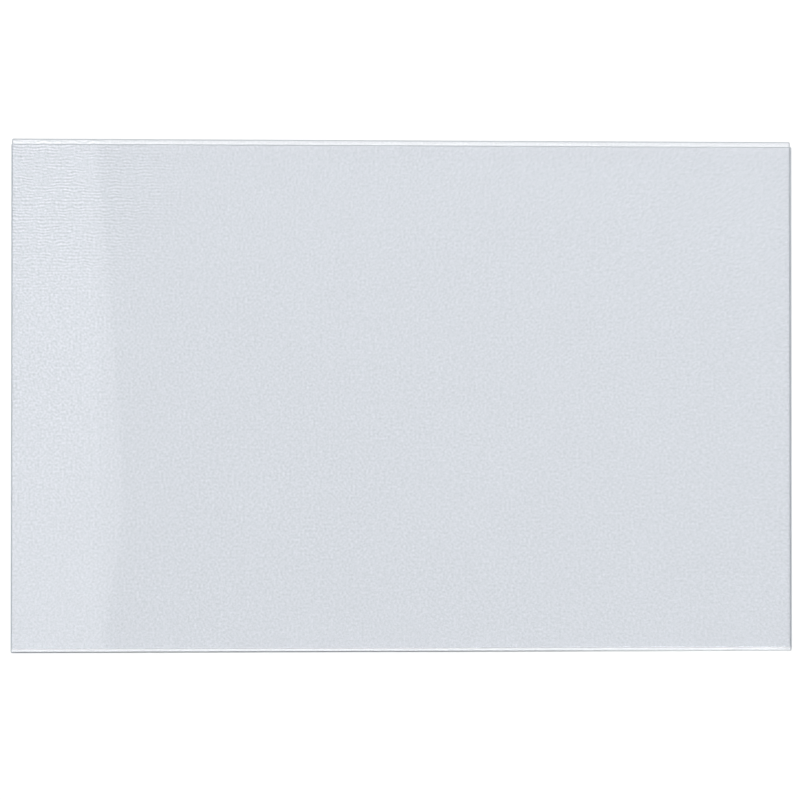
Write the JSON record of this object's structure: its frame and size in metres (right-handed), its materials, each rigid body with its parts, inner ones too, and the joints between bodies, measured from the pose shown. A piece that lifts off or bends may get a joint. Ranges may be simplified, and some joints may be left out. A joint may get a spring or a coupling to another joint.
{
  "type": "acrylic sign holder",
  "caption": "Clear flat pocket for a small landscape card: a thin sheet folded along its lower edge, open at the top and both sides, with the back a little taller than the front.",
  "frame": {"origin": "centre of the box's underside: the middle of the back panel's outer face, which the pocket lies on", "axes": "+X along the fold, to the right as the front panel is read; +Y from the fold to the mouth, up as it is read; +Z out of the front panel"},
  "size_m": [0.16, 0.105, 0.0028],
  "materials": {
    "clear_acrylic": "polished"
  },
  "bodies": {
    "root": {"folded_pocket": "clear_acrylic"}
  },
  "joints": []
}
